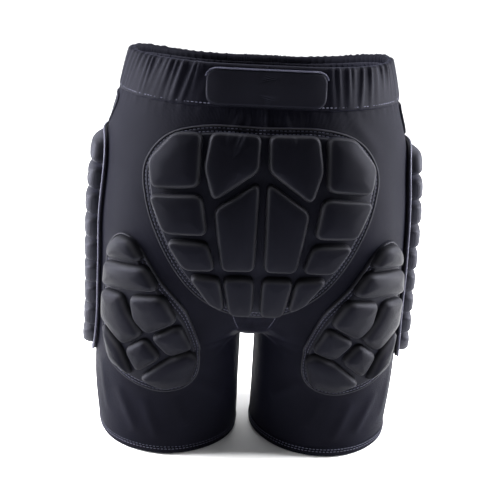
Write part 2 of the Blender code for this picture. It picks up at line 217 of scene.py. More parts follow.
def inner_at(z):
    """Distance of the inner face of a thigh from the centre line."""
    parted = CLEFT_WIDTH + (LEG_GAP - CLEFT_WIDTH) * smooth((CROTCH - z) / LEG_ROUND)
    return np.where(z >= CROTCH, CLEFT_WIDTH * cleft_at(z), parted)


def body(side, turn, z):
    """Points on the body: turn goes round the thigh from the side seam, negative to the back."""
    outer, centre, back, front = read_curve(GIRTHS, z)
    along = np.cos(turn)
    reach = np.where(along >= 0, outer - centre, centre - inner_at(z))
    flat = np.sqrt(np.maximum(0, 1 - cleft_at(z) * along * along))
    bulge = np.where(along >= 0, np.abs(np.sin(turn)), flat)
    y = (back + front) / 2 + (front - back) / 2 * np.copysign(bulge, turn)
    return np.stack([side * (centre + reach * along), y, z], -1)


def relief(side, turn, z):
    """Height of the drag lines and the loose unevenness of the knit, none on the centre line."""
    length = turn * TURN_RADIUS
    total = 0.0005 * np.sin(31 * length + 9 * z + side) * np.sin(24 * z + 13 * length)
    total = total + 0.0003 * np.sin(67 * length - 21 * z) * np.sin(53 * z + 2 * side)
    for who, turn_a, z_a, turn_b, z_b, width, height in FOLDS:
        a_length = math.radians(turn_a) * TURN_RADIUS
        run = math.radians(turn_b - turn_a) * TURN_RADIUS
        fall = z_b - z_a
        t = ((length - a_length) * run + (z - z_a) * fall) / (run * run + fall * fall)
        t = np.clip(t, 0, 1)
        apart = (length - a_length - t * run) ** 2 + (z - z_a - t * fall) ** 2
        wanted = (side == who) if who else 1.0
        total = total + wanted * height * np.exp(-apart / width**2) * np.sqrt(4 * t * (1 - t))
    below = waist_top(turn) - BAND - z
    ripple = np.sin(length * 520 + side) * np.sin(length * 190 + 2 * side)
    total = total + 0.0008 * ripple * np.exp(-np.maximum(below, 0) / 0.006) * (below > 0)
    return total * smooth((math.pi - np.abs(turn)) / 0.30)


def lifted(side, turn, z, lift):
    """The points this far outside the knit's inner face, with their outward directions."""
    side, turn, z, lift = np.broadcast_arrays(
        np.asarray(side, float), np.asarray(turn, float), np.asarray(z, float), np.asarray(lift, float)
    )
    step = 0.02
    ahead = body(side, np.minimum(turn + step, math.pi), z)
    behind = body(side, np.maximum(turn - step, -math.pi), z)
    out = np.cross(ahead - behind, body(side, turn, z + 0.001) - body(side, turn, z - 0.001))
    out *= (side / np.linalg.norm(out, axis=-1))[..., None]
    return body(side, turn, z) + out * (lift + relief(side, turn, z))[..., None], out


def turn_at(x, z):
    """The turn of the point on the back that lies this far from the centre line."""
    outer, centre, _, _ = read_curve(GIRTHS, z)
    reach = np.where(x >= centre, outer - centre, centre - inner_at(z))
    return -np.arccos(np.clip((x - centre) / reach, -1, 1))


def on_seat(x, z, lift):
    side = np.where(x < 0, -1.0, 1.0)
    return lifted(side, turn_at(np.abs(x), z), z, lift)


def on_thigh(side):
    """Places a length round the thigh and a height on that thigh."""
    return lambda length, z, lift: lifted(side, length / TURN_RADIUS, z, lift)


def waist_top(turn):
    return -FRONT_DIP * np.sin(np.clip(turn, 0, math.pi / 2)) ** 2


# ---- outlines ---------------------------------------------------------------------------------------


def on_round(corners):
    return [(math.radians(turn) * TURN_RADIUS, z) for turn, z in corners]


def mirrored(half):
    return list(half) + [(-x, z) for x, z in reversed(half[1:-1])]


def rounded(corners, reach):
    """A closed outline whose corners are curves that begin this far from each corner."""
    corners = np.array(corners, float)
    outline = []
    for i, here in enumerate(corners):
        before = corners[i - 1]
        after = corners[(i + 1) % len(corners)]
        start = here + (before - here) * min(0.45, reach / np.linalg.norm(before - here))
        end = here + (after - here) * min(0.45, reach / np.linalg.norm(after - here))
        for t in np.linspace(0, 1, 9):
            outline.append(start * (1 - t) ** 2 + 2 * here * t * (1 - t) + end * t * t)
    return np.array(outline)


def resampled(outline, spacing, passes=0):
    """The same closed outline with points evenly spaced, smoothed by this many passes."""
    closed = np.vstack([outline, outline[:1]])
    run = run_along(closed)
    at = np.linspace(0, run[-1], max(12, round(run[-1] / spacing)), endpoint=False)
    found = np.column_stack([np.interp(at, run, closed[:, k]) for k in range(2)])
    for _ in range(passes):
        found = 0.5 * found + 0.25 * (np.roll(found, 1, 0) + np.roll(found, -1, 0))
    return found


def inwards(outline):
    """Unit vectors that point into a closed outline."""
    along = np.roll(outline, -1, 0) - np.roll(outline, 1, 0)
    along /= np.linalg.norm(along, axis=1)[:, None]
    x, y = outline.T
    area = (x * np.roll(y, -1) - y * np.roll(x, -1)).sum()
    return np.column_stack([-along[:, 1], along[:, 0]]) * math.copysign(1, area)


def opened(line):
    """A closed line with a gap in it, turned round so that it starts after the gap."""
    return np.roll(line, -np.argmax(np.linalg.norm(line - np.roll(line, 1, 0), axis=1)), 0)


def run_along(line):
    """Length from the start of a line to each of its points."""
    return np.concatenate([[0], np.cumsum(np.linalg.norm(np.diff(line, axis=0), axis=1))])


def edge_distance(points, outline):
    """Distance of each point from a closed outline."""
    start = outline[None]
    side = np.roll(outline, -1, 0)[None] - start
    away = points[:, None] - start
    t = np.clip((away * side).sum(-1) / (side * side).sum(-1), 0, 1)
    return np.sqrt(((away - side * t[..., None]) ** 2).sum(-1)).min(1)


def middle_of(outline):
    """The point inside the outline that is furthest from it."""
    low, high = outline.min(0), outline.max(0)
    xs, zs = np.meshgrid(np.linspace(low[0], high[0], 15)[1:-1], np.linspace(low[1], high[1], 15)[1:-1])
    tried = np.column_stack([xs.ravel(), zs.ravel()])
    start = outline[None]
    end = np.roll(outline, -1, 0)[None]
    between = (start[..., 1] > tried[:, 1:]) != (end[..., 1] > tried[:, 1:])
    slope = (end - start)[..., 0] / np.where(end[..., 1] == start[..., 1], 1, (end - start)[..., 1])
    crossing = start[..., 0] + slope * (tried[:, 1:] - start[..., 1])
    inside = (between & (tried[:, :1] < crossing)).sum(1) % 2 == 1
    return tried[np.argmax(np.where(inside, edge_distance(tried, outline), -1))]


# ---- meshes -----------------------------------------------------------------------------------------

STITCH = 0.0030  # length of one stitch
STITCH_PITCH = 0.0044
THREAD_RADIUS = 0.00042
THREAD_FLATNESS = 1.3  # a thread's width over its height
PALE_RIM_PLACE = 0.0016  # distance of the pale rim, partly wear and partly painted highlight, from a pad's edge
PALE_RIM_WIDTH = 0.0018


def add_mesh(name, points, faces, uv, finish):
    """A smooth object. uv holds each point's place on the cloth, in metres."""
    mesh = bpy.data.meshes.new(name)
    mesh.from_pydata([tuple(p) for p in points], [], faces)
    mesh.materials.append(finish)
    layer = mesh.uv_layers.new(name="cloth")
    loops = np.empty(len(mesh.loops), np.int32)
    mesh.loops.foreach_get("vertex_index", loops)
    layer.data.foreach_set("uv", np.asarray(uv, np.float32)[loops].ravel())
    mesh.polygons.foreach_set("use_smooth", [True] * len(mesh.polygons))
    mesh.update()
    made = bpy.data.objects.new(name, mesh)
    bpy.context.scene.collection.objects.link(made)
    return made


def grid_faces(rows, columns, closed=False, start=0, looped=False):
    """Quads of a grid of points. A closed one joins its last column to its first, a looped one its rows."""
    faces = []
    for r in range(rows if looped else rows - 1):
        a = start + r * columns
        b = start + (r + 1) % rows * columns
        for c in range(columns if closed else columns - 1):
            d = (c + 1) % columns
            faces.append((a + c, a + d, b + d, b + c))
    return faces


def grid(name, points, uv, finish, closed=False, looped=False):
    rows, columns = points.shape[:2]
    faces = grid_faces(rows, columns, closed, 0, looped)
    return add_mesh(name, points.reshape(-1, 3), faces, uv.reshape(-1, 2), finish)


def places(across, down):
    """Each point's place on the cloth, from values that fill out to one array."""
    return np.stack(np.broadcast_arrays(across, down), -1)


def outwards(made):
    """Turns a closed piece's faces outwards."""
    mesh = made.data
    count = len(mesh.polygons)
    centre = np.zeros(count * 3)
    normal = np.zeros(count * 3)
    area = np.zeros(count)
    mesh.polygons.foreach_get("center", centre)
    mesh.polygons.foreach_get("normal", normal)
    mesh.polygons.foreach_get("area", area)
    if (centre.reshape(-1, 3) * normal.reshape(-1, 3)).sum(1) @ area < 0:
        mesh.flip_normals()
    return made


class Skin:
    """A closed skin of rings (ring, point, x y z), with each point's place on the cloth and how pale its rim
    is painted, partly wear and partly painted highlight.
    """

    def __init__(self, rings, uvs, wear_and_highlight):
        self.rings = np.array(rings)
        self.uvs = np.array(uvs)
        self.wear_and_highlight = np.array(wear_and_highlight)[..., None]

    def refined(self):
        """Twice as many rings and twice as many points in each, on smooth curves through them."""
        self.rings, self.uvs, self.wear_and_highlight = (doubled(a) for a in (self.rings, self.uvs, self.wear_and_highlight))
        return self

    def points(self):
        return with_poles(self.rings)

    def faces(self):
        ring_count, count = self.rings.shape[:2]
        faces = [(0, 1 + (i + 1) % count, 1 + i) for i in range(count)]
        faces += grid_faces(ring_count, count, True, 1)
        last = 1 + (ring_count - 1) * count
        return faces + [(last + i, last + (i + 1) % count, last + count) for i in range(count)]

    def made(self, name, finish):
        made = outwards(add_mesh(name, self.points(), self.faces(), with_poles(self.uvs), finish))
        # The pale-rim mask, partly wear and partly painted highlight, goes onto the mesh as a point
        # attribute.
        rubbed_and_highlit = with_poles(self.wear_and_highlight).ravel().astype(np.float32)
        made.data.attributes.new("wear_and_highlight", "FLOAT", "POINT").data.foreach_set("value", rubbed_and_highlit)
        return made


def with_poles(rings):
    """All values of the rings in one list, between the mean of the first and the mean of the last."""
    return np.vstack([rings[0].mean(0), rings.reshape(-1, rings.shape[-1]), rings[-1].mean(0)])


def doubled(rings):
    before, after, beyond = (np.roll(rings, k, 1) for k in (1, -1, -2))
    between = (9 * (rings + after) - before - beyond) / 16
    rings = np.stack([rings, between], 2).reshape(len(rings), -1, rings.shape[-1])
    padded = np.concatenate([rings[:1], rings, rings[-1:]])
    between = (9 * (padded[1:-2] + padded[2:-1]) - padded[:-3] - padded[3:]) / 16
    found = np.empty((2 * len(rings) - 1, *rings.shape[1:]))
    found[::2] = rings
    found[1::2] = between
    return found


def gaussian_band(away, middle, width):
    return np.exp(-(((away - middle) / width) ** 2))


def puffed(outline, place, low, profile, depths):
    """A closed pad: its face rises over the outline as profile says of the distance from the edge."""
    middle = middle_of(outline)
    deepest = edge_distance(middle[None], outline)[0]
    rings, uvs, wear_and_highlight = [], [], []
    for share, lift in ((0.5, low), (0.97, low), (1.0, low + 0.0004)):
        flat = middle + (outline - middle) * share
        rings.append(place(flat[:, 0], flat[:, 1], lift)[0])
        uvs.append(flat)
        wear_and_highlight.append(np.zeros(len(flat)))
    for depth in (0.0, *(d for d in depths if d < 0.9 * deepest)):
        flat = middle + (outline - middle) * (1 - depth / deepest)
        away = edge_distance(flat, outline)
        rings.append(place(flat[:, 0], flat[:, 1], profile(away))[0])
        uvs.append(flat)
        # Paler rolled rim on each pad: partly wear, partly a painted highlight.
        wear_and_highlight.append(gaussian_band(away, PALE_RIM_PLACE, PALE_RIM_WIDTH))
    return Skin(rings, uvs, wear_and_highlight)


def tube(name, line, radius, finish, closed=False, sides=8):
    """A round cord along a line of points, as a closed skin or a ring."""
    if closed:
        along = np.roll(line, -1, 0) - np.roll(line, 1, 0)
    else:
        along = np.gradient(line, axis=0)
    along /= np.linalg.norm(along, axis=1)[:, None]
    across = np.cross(along, (0.0, 0.0, 1.0))
    across = np.where(np.linalg.norm(across, axis=1)[:, None] < 0.1, np.cross(along, (1.0, 0, 0)), across)
    for i in range(1, len(across)):
        turned = across[i - 1] - along[i] * (across[i - 1] @ along[i])
        across[i] = turned / np.linalg.norm(turned)
    across[0] /= np.linalg.norm(across[0])
    up = np.cross(along, across)
    angles = np.linspace(0, 2 * math.pi, sides, endpoint=False)
    wide = np.cos(angles)[None, :, None] * across[:, None] + np.sin(angles)[None, :, None] * up[:, None]
    points = line[:, None] + radius * wide
    run = run_along(line)
    uv = places(angles[None] * radius, run[:, None])
    count = len(line)
    faces = grid_faces(count, sides, True)
    flat = points.reshape(-1, 3)
    if closed:
        last = (count - 1) * sides
        faces += [(last + i, last + (i + 1) % sides, (i + 1) % sides, i) for i in range(sides)]
    else:
        faces.append(tuple(reversed(range(sides))))
        faces.append(tuple(range((count - 1) * sides, count * sides)))
    return outwards(add_mesh(name, flat, faces, uv.reshape(-1, 2), finish))


def stitches(name, rows):
    """Threads along rows. Each row holds its points and outward directions along the seam."""
    shape = ((-0.5, 0.25), (-0.3, 1.0), (0.3, 1.0), (0.5, 0.25))
    angles = np.linspace(0, 2 * math.pi, 6, endpoint=False)
    points, uv, faces = [], [], []
    for line, out in rows:
        run = run_along(line)
        for k in range(int(run[-1] / STITCH_PITCH)):
            ends = []
            centre = (k + 0.5) * STITCH_PITCH
            for at in (centre - STITCH / 2, centre + STITCH / 2):
                ends.append(np.array([np.interp(at, run, line[:, c]) for c in range(3)]))
            up = np.array([np.interp(centre, run, out[:, c]) for c in range(3)])
            along = ends[1] - ends[0]
            across = np.cross(along, up)
            across /= np.linalg.norm(across)
            up = np.cross(across, along)
            up /= np.linalg.norm(up)
            middle = (ends[0] + ends[1]) / 2
            start = len(points)
            for share, wide in shape:
                for angle in angles:
                    off = across * math.cos(angle) * THREAD_FLATNESS + up * math.sin(angle)
                    points.append(middle + along * share + off * THREAD_RADIUS * wide)
                    uv.append((angle * THREAD_RADIUS, share * STITCH))
            faces += grid_faces(len(shape), 6, True, start)
            faces.append(tuple(start + i for i in range(6)))
            faces.append(tuple(start + 18 + i for i in reversed(range(6))))
    return add_mesh(name, points, faces, uv, THREAD)


def thicken(made, thickness):
    """Gives a sheet this thickness, inwards from its points."""
    thick = made.modifiers.new("thickness", "SOLIDIFY")
    thick.thickness = thickness
    thick.offset = -1


def fasten(made, slot, side, *nodes):
    """Rides on the shorts' body, or for a side keeps its place with its transform baked in, and stands for
    these nodes.
    """
    if side:
        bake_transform(made)
    else:
        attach(made, "pelvis")
    if nodes:
        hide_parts(*nodes)


# ---- materials --------------------------------------------------------------------------------------


def add_node(tree, kind, settings=None, **inputs):
    made = tree.nodes.new("ShaderNode" + kind)
    for key, value in (settings or {}).items():
        setattr(made, key, value)
    for key, value in inputs.items():
        socket = made.inputs[int(key[1:])] if key[1:].isdigit() else made.inputs[key.replace("_", " ")]
        if isinstance(value, bpy.types.NodeSocket):
            tree.links.new(value, socket)
        else:
            socket.default_value = value
    return made


def maths(tree, operation, *values):
    inputs = {"i%d" % i: value for i, value in enumerate(values)}
    return add_node(tree, "Math", {"operation": operation}, **inputs).outputs[0]


def cloth(name, colour, wale, course, rough, sheen, weave, wear_highlight_strength=0.0, ribbed=False, specular=0.5):
    """A dyed knit: rows of loops wale wide and course high, flecked yarn, and paler rims that are partly wear
    and partly a painted highlight on the rolled edges.
    """
    made = bpy.data.materials.new(name)
    made.use_nodes = True
    tree = made.node_tree
    surface = tree.nodes["Principled BSDF"]
    place = add_node(tree, "TexCoord").outputs["UV"]
    split = add_node(tree, "SeparateXYZ", Vector=place)
    across, down = split.outputs["X"], split.outputs["Y"]
    zigzag = maths(tree, "PINGPONG", across, wale / 2)
    slanted = maths(tree, "MULTIPLY_ADD", zigzag, 0.0 if ribbed else 0.9, down)
    loops = maths(tree, "SINE", maths(tree, "MULTIPLY", slanted, 2 * math.pi / course))
    columns = maths(tree, "SINE", maths(tree, "MULTIPLY", across, math.pi / wale))
    ridges = maths(tree, "ABSOLUTE", columns)
    knitted = maths(tree, "MULTIPLY_ADD", loops, 0.35, ridges)
    fleck = add_node(tree, "TexNoise", Vector=place, Scale=1100.0, Detail=2.0, Roughness=0.6)
    cloud = add_node(tree, "TexNoise", Vector=place, Scale=16.0, Detail=4.0, Roughness=0.55)
    clouded = maths(tree, "MULTIPLY", cloud.outputs[0], 0.45)
    tone = maths(tree, "MULTIPLY_ADD", fleck.outputs[0], 0.55, clouded)
    tone = maths(tree, "MULTIPLY_ADD", knitted, 0.12, tone)
    ramp = add_node(tree, "ValToRGB", None, Fac=tone)
    dark = tuple(0.55 * c for c in colour)
    light = tuple(1.55 * c for c in colour)
    ramp.color_ramp.elements[0].position = 0.36
    ramp.color_ramp.elements[0].color = (*dark, 1)
    ramp.color_ramp.elements[1].position = 0.76
    ramp.color_ramp.elements[1].color = (*light, 1)
    shade = ramp.outputs[0]
    # Pale rims: the rim attribute mixes in a lighter colour, partly wear and partly a painted highlight along
    # the rolled edges.
    if wear_highlight_strength:
        edge = add_node(tree, "Attribute", {"attribute_name": "wear_and_highlight"}).outputs["Fac"]
        rubbed_and_highlit = maths(tree, "MULTIPLY", edge, wear_highlight_strength)
        worn_highlight_colour = tuple(min(1.0, 2.6 * c + 0.012) for c in colour)
        patchy = maths(tree, "MULTIPLY", rubbed_and_highlit, cloud.outputs[0])
        mixed = add_node(tree, "Mix", {"data_type": "RGBA"}, i0=patchy, i6=shade, i7=(*worn_highlight_colour, 1))
        shade = mixed.outputs[2]
    tree.links.new(shade, surface.inputs["Base Color"])
    shine = {"To_Min": rough + 0.08, "To_Max": rough - 0.06}
    roughness = add_node(tree, "MapRange", None, Value=tone, From_Min=0.3, From_Max=0.8, **shine)
    tree.links.new(roughness.outputs[0], surface.inputs["Roughness"])
    height = maths(tree, "MULTIPLY_ADD", fleck.outputs[0], 0.6, knitted)
    bump = add_node(tree, "Bump", None, Strength=weave, Distance=0.0004, Height=height)
    tree.links.new(bump.outputs[0], surface.inputs["Normal"])
    surface.inputs["Sheen Weight"].default_value = sheen
    surface.inputs["Sheen Roughness"].default_value = 0.40
    surface.inputs["Sheen Tint"].default_value = (0.45, 0.47, 0.95, 1)
    surface.inputs["Specular Tint"].default_value = (0.64, 0.66, 1.0, 1)
    surface.inputs["Specular IOR Level"].default_value = specular
    return made


KNIT_CLOTH = cloth(
    "stretch_knit", (0.0015, 0.0015, 0.0026), 0.0012, 0.0010, 0.60, 0.020, 0.45, specular=0.028
)
BAND_CLOTH = cloth(
    "waistband_knit", (0.0020, 0.0020, 0.0032), 0.0010, 0.0009, 0.58, 0.022, 0.40, specular=0.035
)
# The worn values set how pale the rims are painted, partly as wear and partly as highlight.
PAD_CLOTH = cloth(
    "pad_cover", (0.0014, 0.0014, 0.0021), 0.0008, 0.0007, 0.40, 0.009, 0.30, wear_highlight_strength=1.5, specular=0.045
)
BACKING_CLOTH = cloth(
    "pad_backing", (0.0016, 0.0016, 0.0024), 0.0009, 0.0008, 0.46, 0.016, 0.35, wear_highlight_strength=1.7, specular=0.060
)
HIP_CLOTH = cloth(
    "hip_foam_cover", (0.0040, 0.0040, 0.0054), 0.0009, 0.0008, 0.50, 0.026, 0.35, wear_highlight_strength=1.3, specular=0.11
)
SMOOTH_CLOTH = cloth(
    "smooth_panel", (0.0022, 0.0022, 0.0030), 0.0006, 0.0006, 0.42, 0.018, 0.20, specular=0.07
)
ELASTIC_CLOTH = cloth(
    "elastic", (0.0080, 0.0080, 0.0105), 0.0016, 0.0030, 0.70, 0.04, 0.8, ribbed=True, specular=0.12
)
LINING_CLOTH = cloth("lining", (0.0080, 0.0079, 0.0108), 0.0011, 0.0011, 0.72, 0.05, 0.6, specular=0.10)
BINDING = cloth("binding", (0.0170, 0.0167, 0.0225), 0.0007, 0.0012, 0.42, 0.10, 0.5, specular=0.35)
THREAD = cloth("thread", (0.0420, 0.0420, 0.0560), 0.0003, 0.0006, 0.40, 0.10, 0.9, specular=0.35)


# ---- the knit ---------------------------------------------------------------------------------------

FABRIC_ROWS = 176
FABRIC_COLUMNS = 116
BAND_TUCK = 0.006  # the knit runs this far up under the waistband
HEM_TUCK = 0.004
KNIT_SHOWN = 0.0011  # thickness of the sheet that shows
HEM_SECTION = (  # height over the hem's edge, lift
    (0.0125, 0.0016),
    (0.0118, 0.0022),
    (0.0100, 0.0021),
    (0.0088, 0.0026),
    (0.0050, 0.0028),
    (0.0020, 0.0027),
    (0.0004, 0.0020),
    (0.0000, 0.0010),
    (0.0004, 0.0001),
    (0.0020, -0.0006),
    (0.0070, -0.0008),
    (0.0125, -0.0004),
    (0.0128, 0.0006),
)
HEM_SEWN = ((0.0100, 0.0024), (0.0072, 0.0030))  # the same, of each row of stitches


def knit_panel(name, side, first, last, nodes):
    """One half of the front or back, from under the waistband down to inside the hem."""
    turns = np.linspace(first, last, FABRIC_COLUMNS)[None]
    shares = np.linspace(0, 1, FABRIC_ROWS)[:, None]
    top = waist_top(turns) - BAND + BAND_TUCK
    z = top + (HEM + HEM_TUCK - top) * shares
    tucked = smooth((z - top + 0.0075) / 0.004)
    turns = np.broadcast_to(turns, z.shape)
    points, _ = lifted(side, turns, z, KNIT - 0.0005 * tucked)
    made = grid(name, points, np.stack([turns * TURN_RADIUS, z], -1), KNIT_CLOTH)
    if side * last <= 0 if first < 0 else side * last > 0:
        made.data.flip_normals()
    thicken(made, KNIT_SHOWN)
    fasten(made, "stretch_knit", side, *nodes)
    return made


def make_knit():
    for label, side in SIDES:
        nodes = ["seat_panel_" + label, "leg_back_panel_" + label]
        knit_panel("knit_back_" + label, side, -math.pi, 0.0, nodes)
        nodes = ["front_panel_" + label, "leg_front_panel_" + label]
        knit_panel("knit_front_" + label, side, 0.0, math.pi, nodes)


def make_hems():
    """A turned hem round each leg with two rows of stitches."""
    turns = np.linspace(-math.pi, math.pi, 200, endpoint=False)[None]
    rise = column(HEM_SECTION, 0)
    lift = column(HEM_SECTION, 1)
    for label, side in SIDES:
        points, _ = lifted(side, turns, HEM + rise, lift)
        points[..., 2] = HEM + rise
        uv = places(turns * TURN_RADIUS, rise)
        made = grid("hem_" + label, points, uv, KNIT_CLOTH, closed=True, looped=True)
        outwards(made)
        fasten(made, "stretch_knit", side, "hem_band_" + label)
        rows = []
        for height, out in HEM_SEWN:
            rows.append(lifted(side, np.linspace(-math.pi, math.pi, 300), HEM + height, out))
        sewn = stitches("hem_stitches_" + label, rows)
        fasten(sewn, "stretch_knit", side)


# ---- the waistband ----------------------------------------------------------------------------------

BAND_SHOWN = 0.0008  # thickness of the sheet that shows
GATHER_PITCH = (0.0055, 0.0115)  # least and most
GATHER_LEAN = (0.002, 0.010)
GATHER_WIDTH = (0.0014, 0.0026)
GATHER_HEIGHT = (0.0011, 0.0032)
PIPING_DROP = 0.009  # the back panel's cord ends this far under its top edge
BAND_PATH = (  # depth below the top edge, lift, share of the gathers
    (0.0430, 0.0016, 0.10),
    (0.0426, 0.0026, 0.15),
    (0.0414, 0.0030, 0.25),
    (0.0390, 0.0034, 0.45),
    (0.0350, 0.0036, 0.70),
    (0.0300, 0.0038, 0.85),
    (0.0250, 0.0040, 0.95),
    (0.0200, 0.0041, 1.00),
    (0.0150, 0.0041, 1.05),
    (0.0110, 0.0040, 1.10),
    (0.0080, 0.0039, 1.15),
    (0.0055, 0.0038, 1.20),
    (0.0035, 0.0036, 1.15),
    (0.0018, 0.0032, 0.95),
    (0.0006, 0.0022, 0.70),
    (0.0000, 0.0006, 0.50),
    (0.0006, -0.0012, 0.40),
    (0.0020, -0.0024, 0.30),
    (0.0050, -0.0030, 0.25),
    (0.0090, -0.0031, 0.15),
    (0.0120, -0.0028, 0.10),
)


def gather_list(side):
    """Folds of the gathered band: place round the waist, lean, width, height, share at the bottom."""
    random = np.random.default_rng(20 + side)
    found = []
    length = -math.pi * TURN_RADIUS
    while length < math.pi * TURN_RADIUS:
        length += random.uniform(*GATHER_PITCH)
        lean = side * random.uniform(*GATHER_LEAN)
        width = random.uniform(*GATHER_WIDTH)
        height = random.uniform(*GATHER_HEIGHT)
        found.append((length, lean, width, height, random.uniform(0.0, 1.0)))
    return found


def beside_panel(turn):
    """0 behind the smooth back panel and 1 beside it."""
    x = body(1.0, turn, np.full(turn.shape, -0.02))[..., 0]
    return np.where(turn < -1.0, smooth((x - BACK_PANEL_HALF + 0.004) / 0.009), 1.0)


def gathers(side, turn, depth):
    """Height of the gathers at a depth below the top edge, none behind the smooth back panel."""
    length = turn * TURN_RADIUS
    share = depth / BAND
    total = np.zeros(np.broadcast(length, depth).shape)
    for centre, lean, width, height, bottom in gather_list(side):
        at = length - centre - lean * (0.5 - share)
        strength = height * (1 - (1 - bottom) * smooth(share * 1.3))
        total += strength * np.exp(-((at / (width * (0.8 + 0.7 * share))) ** 2))
    return (total - 0.0006) * beside_panel(turn)


def make_waistband():
    turns = np.linspace(-math.pi, math.pi, 520)[None]
    depth, lift, share = (column(BAND_PATH, place) for place in range(3))
    for label, side in SIDES:
        folds = gathers(side, turns, depth) * share
        flush = beside_panel(turns)
        eased = 0.0016 + (lift - 0.0016) * np.where(lift > 0.0016, 0.25 + 0.75 * flush, 1.0)
        scallop = gathers(side, turns, 0 * depth)
        z = waist_top(turns) - depth + 0.25 * scallop * smooth(1 - depth / 0.008)
        points, _ = lifted(side, turns, z, eased + folds)
        uv = places(turns * TURN_RADIUS, -depth)
        made = grid("waistband_cloth_" + label, points, uv, BAND_CLOTH)
        if side > 0:
            made.data.flip_normals()
        thicken(made, BAND_SHOWN)
        fasten(made, "stretch_knit", 0, "waistband_" + label)
        row_turns = np.linspace(-math.pi + 0.001, math.pi - 0.001, 700)
        rows = [lifted(side, row_turns, waist_top(row_turns) - 0.0402, 0.0037)]
        sewn = stitches("waistband_stitches_" + label, rows)
        fasten(sewn, "stretch_knit", 0)


def make_waist_inside():
    """The elastic webbing inside the casing and the brushed lining that shows inside the waist."""
    path = [(1.0, turn) for turn in np.linspace(-math.pi, math.pi, 260)[:-1]]
    path += [(-1.0, turn) for turn in np.linspace(math.pi, -math.pi, 260)[:-1]]
    side = np.array([row[0] for row in path])[None]
    turn = np.array([row[1] for row in path])[None]
    round_it = np.cumsum(np.full(turn.shape, math.pi * TURN_RADIUS * 2 / 260), axis=1)
    layers = (
        ("waist_elastic_webbing", "waist_elastic", "elastic", ELASTIC_CLOTH, 0.0030, 0.0400, -0.0004, 0.0010),
        ("waist_lining", "waistband_lining", "lining", LINING_CLOTH, 0.0070, 0.0425, -0.0038, -0.0026),
    )
    for name, node, slot_name, finish, top, bottom, low, high in layers:
        down = np.linspace(top, bottom, 22)
        depth = np.concatenate([down, down[::-1]])[:, None]
        lift = np.concatenate([np.full(22, high), np.full(22, low)])[:, None]
        quilt = 0.0004 * np.sin(depth * 2 * math.pi / 0.0105) + 0.0003 * np.sin(round_it * 900)
        z = waist_top(turn) - depth
        points, _ = lifted(side, turn, z, lift + quilt)
        uv = places(round_it, -depth)
        made = outwards(grid(name, points, uv, finish, closed=True, looped=True))
        fasten(made, slot_name, 0, node)


def make_back_panel():
    """The smooth padded panel in the middle of the back, with a corded edge over its top."""
    half = BACK_PANEL_HALF
    top = -0.0045
    bottom = -BAND + 0.0010
    corners = ((-half, top), (half, top), (half, bottom), (-half, bottom))
    outline = resampled(rounded(corners, 0.013), 0.0022)

    def profile(away):
        edge = np.clip(away / 0.0035, 0, 1)
        return 0.0022 + 0.0030 * (1 - (1 - edge) ** 2.4) ** (1 / 2.4) + 0.0006 * smooth(away / 0.018)

    depths = (0.0003, 0.0008, 0.0014, 0.0022, 0.0032, 0.0046, 0.0062, 0.008, 0.010, 0.012, 0.014, 0.016)
    made = puffed(outline, on_seat, 0.0014, profile, depths).refined().made("back_panel", SMOOTH_CLOTH)
    fasten(made, "smooth_panel", 0, "waistband_back_panel")
    run = outline + inwards(outline) * -0.0004
    run = opened(run[run[:, 1] > top - PIPING_DROP])
    line, _ = on_seat(run[:, 0], run[:, 1], np.full(len(run), 0.0042))
    cord = tube("back_panel_piping", line, 0.0009, BINDING)
    fasten(cord, "smooth_panel", 0)


# ---- seams, gusset and patches ----------------------------------------------------------------------


def flat_seam(name, line, out, width):
    """A low rounded seam along a line of points with outward directions."""
    along = np.gradient(line, axis=0)
    across = np.cross(along, out)
    across /= np.linalg.norm(across, axis=1)[:, None]
    half = ((-1.0, -0.0004), (-0.8, 0.0002), (-0.3, 0.0006))  # share of the half width, height
    section = (*half, (0.0, 0.0003), *((-s, h) for s, h in reversed(half)))
    points = np.stack([line + across * s * width / 2 + out * h for s, h in section], 1)
    run = np.concatenate([[0], np.cumsum(np.linalg.norm(along[1:], axis=1))])
    sideways = np.array([[s * width / 2 for s, _ in section]])
    uv = places(sideways, run[:, None])
    made = grid(name, points, uv, KNIT_CLOTH)
    thicken(made, SEAM_THICKNESS)
    return made


def make_seams():
    """Centre seams of the back and the front, and the side seams under the hip pads."""
    spans = (
        ("centre_seam_back", -1, -BAND - 0.001, -0.064),
        ("centre_seam_front", 1, -BAND - 0.0185, -0.270),
    )
    for name, face, top, bottom in spans:
        z = np.linspace(top, bottom, max(8, int((top - bottom) / 0.003)))
        line, out = lifted(1.0, face * (math.pi - 0.0001), z, KNIT)
        line[:, 0] = 0.0
        out[:, 0] = 0.0
        out /= np.linalg.norm(out, axis=1)[:, None]
        made = flat_seam(name, line, out, 0.0034)
        fasten(made, "stretch_knit", 0)
    for label, side in SIDES:
        z = np.linspace(-BAND - 0.001, HEM + HEM_HEIGHT, 140)
        line, out = lifted(side, 0.0, z, KNIT)
        made = flat_seam("side_seam_" + label, line, out, 0.0036)
        fasten(made, "stretch_knit", side)
        z = np.linspace(-0.340, HEM + HEM_HEIGHT, 40)
        line, out = lifted(side, math.pi, z, KNIT)
        made = flat_seam("inseam_" + label, line, out, 0.0034)
        fasten(made, "stretch_knit", side)


def on_face(face):
    """Places a distance from the centre line and a height on the back (-1) or the front (1)."""
    return lambda x, z, lift: lifted(
        np.where(x < 0, -1.0, 1.0), -face * turn_at(np.abs(x), z), z, lift
    )


def gusset_line():
    """Depth, height and half width along the gusset, from the back round to the front."""
    stations = []
    for face in (-1, 1):
        half = []
        for z, width in GUSSET_TOP + GUSSET:
            turn = -face * turn_at(np.array(width), np.array(z))
            half.append((body(1.0, turn, np.array(z))[1] + face * GUSSET_LIFT, z, width))
        half += [(face * depth, z, width) for z, depth, width in GUSSET_FLOOR]
        stations += half if face < 0 else reversed(half)
    table = np.array(stations, float)
    run = run_along(table[:, :2])
    return np.stack(read_curve(np.column_stack([run, table]), np.linspace(0, run[-1], 110)), -1)


